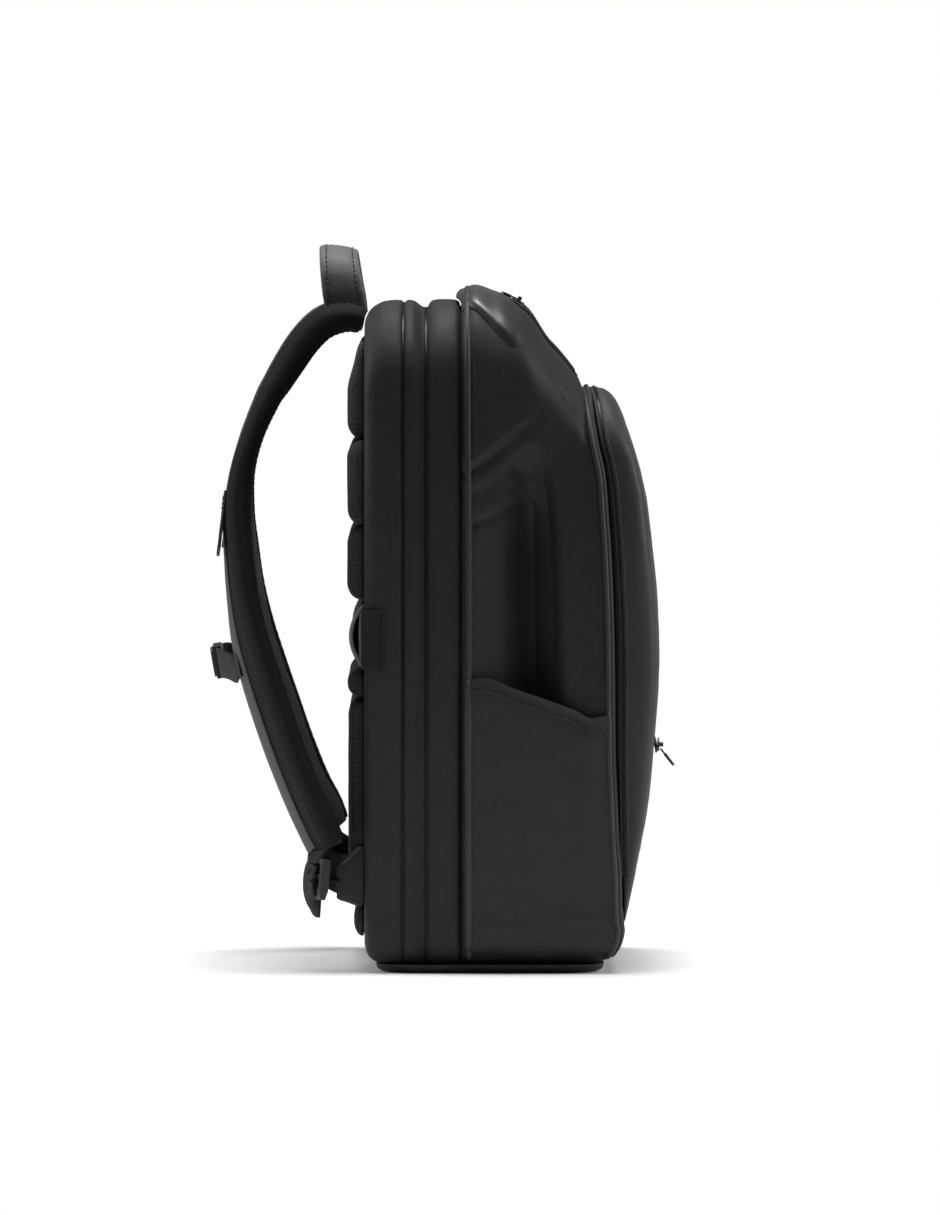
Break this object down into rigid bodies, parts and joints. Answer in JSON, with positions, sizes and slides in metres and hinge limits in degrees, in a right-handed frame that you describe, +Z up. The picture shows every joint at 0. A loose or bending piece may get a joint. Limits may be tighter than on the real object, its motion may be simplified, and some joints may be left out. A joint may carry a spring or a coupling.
{
  "type": "laptop backpack",
  "caption": "Upright laptop backpack with slanted padded top, bulged front pocket, open side pockets, padded back, shoulder straps with a chest strap, and a carrying handle.",
  "frame": {"origin": "middle of the base panel's underside, on the surface that the bag stands on", "axes": "+Z up, X across the width with the wearer's left at -X, the front pocket faces -Y and the shoulder straps +Y"},
  "size_m": [0.3174, 0.3316, 0.5099],
  "materials": {
    "shell_cloth": "matte",
    "panel_cloth": "matte",
    "pocket_cloth": "matte",
    "mesh_cloth": "matte",
    "strap_cloth": "matte",
    "handle_cloth": "matte",
    "webbing": "satin",
    "zip_tape": "satin",
    "buckle_plastic": "satin",
    "base_plastic": "matte",
    "zip_metal": "satin"
  },
  "bodies": {
    "root": {"back_shell": "shell_cloth", "rear_gusset": "shell_cloth", "middle_gusset": "shell_cloth", "front_shell": "shell_cloth", "strap_anchor_L": "shell_cloth", "strap_anchor_R": "shell_cloth", "lid_panel": "panel_cloth", "front_pocket": "panel_cloth", "bottle_pocket_L": "pocket_cloth", "bottle_pocket_R": "pocket_cloth", "back_pad_top_L": "mesh_cloth", "back_pad_top_R": "mesh_cloth", "back_pad_upper_L": "mesh_cloth", "back_pad_upper_R": "mesh_cloth", "back_pad_middle_L": "mesh_cloth", "back_pad_middle_R": "mesh_cloth", "back_pad_lumbar_L": "mesh_cloth", "back_pad_lumbar_R": "mesh_cloth", "back_pad_lower_L": "mesh_cloth", "back_pad_lower_R": "mesh_cloth", "back_pad_foot_L": "mesh_cloth", "back_pad_foot_R": "mesh_cloth", "shoulder_strap_L": "strap_cloth", "shoulder_strap_R": "strap_cloth", "grab_handle": "handle_cloth", "luggage_band": "webbing", "strap_tab_L": "webbing", "strap_tab_R": "webbing", "sternum_webbing_L": "webbing", "sternum_webbing_R": "webbing", "adjuster_webbing_L": "webbing", "adjuster_webbing_R": "webbing", "webbing_tail_L": "webbing", "webbing_tail_R": "webbing", "laptop_zip": "zip_tape", "expansion_zip": "zip_tape", "top_zip": "zip_tape", "front_rim_zip": "zip_tape", "front_face_zip": "zip_tape", "ladder_lock_L": "buckle_plastic", "ladder_lock_R": "buckle_plastic", "sternum_buckle": "buckle_plastic", "base_panel": "base_plastic", "top_zip_slider": "zip_metal", "top_zip_pull": "zip_metal", "front_zip_slider": "zip_metal", "front_zip_pull": "zip_metal"}
  },
  "joints": []
}
